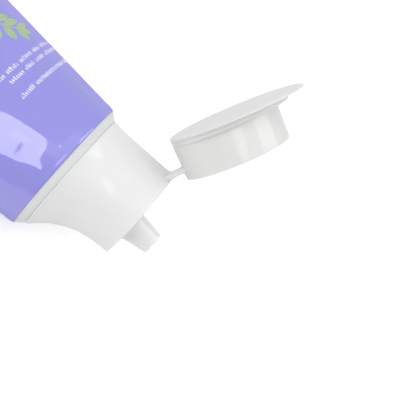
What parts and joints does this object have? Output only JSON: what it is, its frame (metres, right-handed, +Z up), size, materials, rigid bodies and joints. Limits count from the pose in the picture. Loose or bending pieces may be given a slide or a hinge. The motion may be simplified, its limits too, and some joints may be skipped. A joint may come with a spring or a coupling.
{
  "type": "toothpaste tube",
  "caption": "Squeeze tube of toothpaste lying on its flat side, with a screw-on flip-top cap whose lid stands open on a strap hinge above the nozzle.",
  "frame": {"origin": "on the floor, under the middle of the whole as it lies with its lid open", "axes": "+X along the tube from the sealed end towards the nozzle, +Y to the hinge's side, +Z up"},
  "size_m": [0.1506, 0.0766, 0.0652],
  "materials": {
    "printed_sleeve": "lavender laminate with a soft gloss",
    "head_white": "white moulded plastic, slightly matt",
    "cap_white": "white moulded plastic, glossy",
    "lid_white": "white moulded plastic, glossy"
  },
  "bodies": {
    "tube": {"tube_sleeve": "printed_sleeve", "tube_head": "head_white"},
    "cap": {"cap_base": "cap_white", "hinge_strap": "cap_white"},
    "lid": {"cap_lid": "lid_white"}
  },
  "joints": [
    {"name": "cap_off", "type": "slide", "parent": "tube", "child": "cap", "axis": [0.9877, 0, 0.1566], "range_m": [0, 0.016]},
    {"name": "lid_hinge", "type": "hinge", "parent": "cap", "child": "lid", "pos_m": [0.06454, 0.00519, 0.03418], "axis": [-0.12, -0.6428, 0.7566], "range_deg": [-154.7, 25], "deforming": ["hinge_strap"]}
  ]
}
